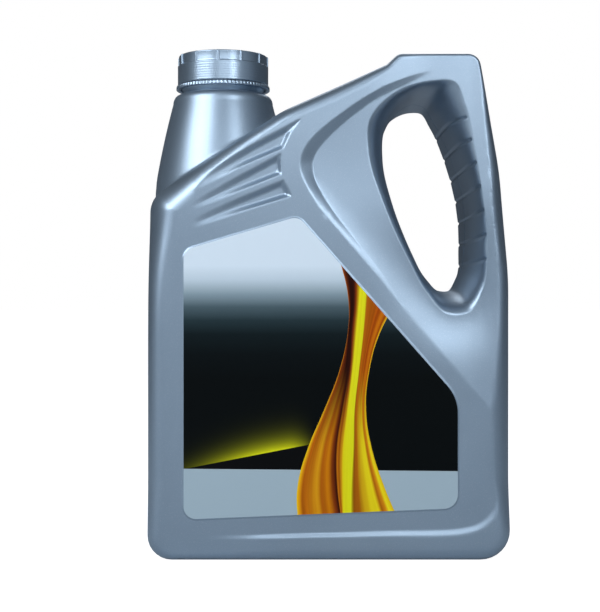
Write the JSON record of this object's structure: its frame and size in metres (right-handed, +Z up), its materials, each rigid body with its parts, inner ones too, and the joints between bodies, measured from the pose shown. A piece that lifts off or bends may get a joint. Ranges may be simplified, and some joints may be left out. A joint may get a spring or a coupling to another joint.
{
  "type": "motor oil bottle",
  "caption": "Blow-moulded oil jerrycan with a side grip, slanted fluted shoulder, ribbed screw cap, tamper band and label panels front and back.",
  "frame": {"origin": "middle of the base, on the surface the bottle stands on", "axes": "+Z up, -Y towards the front label, +X towards the grip; the neck is on the -X side"},
  "size_m": [0.193, 0.11, 0.2761],
  "materials": {
    "bottle_plastic": "satin blow-moulded polyethylene, silver grey-blue",
    "cap_plastic": "injection-moulded polypropylene, silver grey-blue, satin",
    "liner_foam": "white expanded polyethylene sealing wad",
    "band_plastic": "injection-moulded polypropylene, silver grey-blue, satin",
    "front_print": "printed film: pale top fading to black, golden streams, grey foot",
    "back_print": "printed film: plain pale field fading to black, grey foot"
  },
  "bodies": {
    "root": {"bottle": "bottle_plastic", "tamper_band": "band_plastic", "front_label": "front_print", "back_label": "back_print"},
    "lift": {"cap_liner": "liner_foam"},
    "cap": {"cap": "cap_plastic"}
  },
  "joints": [
    {"name": "cap_lift", "type": "slide", "parent": "root", "child": "lift", "axis": [0, 0, 1], "range_m": [0, 0.0068]},
    {"name": "cap_turn", "type": "hinge", "parent": "lift", "child": "cap", "pos_m": [-0.059, 0, 0.266], "axis": [0, 0, 1], "range_deg": [0, 540]}
  ],
  "couplings": [
    {"joint": "cap_lift", "follows": "cap_turn", "m_per_rad": 0.0007162}
  ]
}
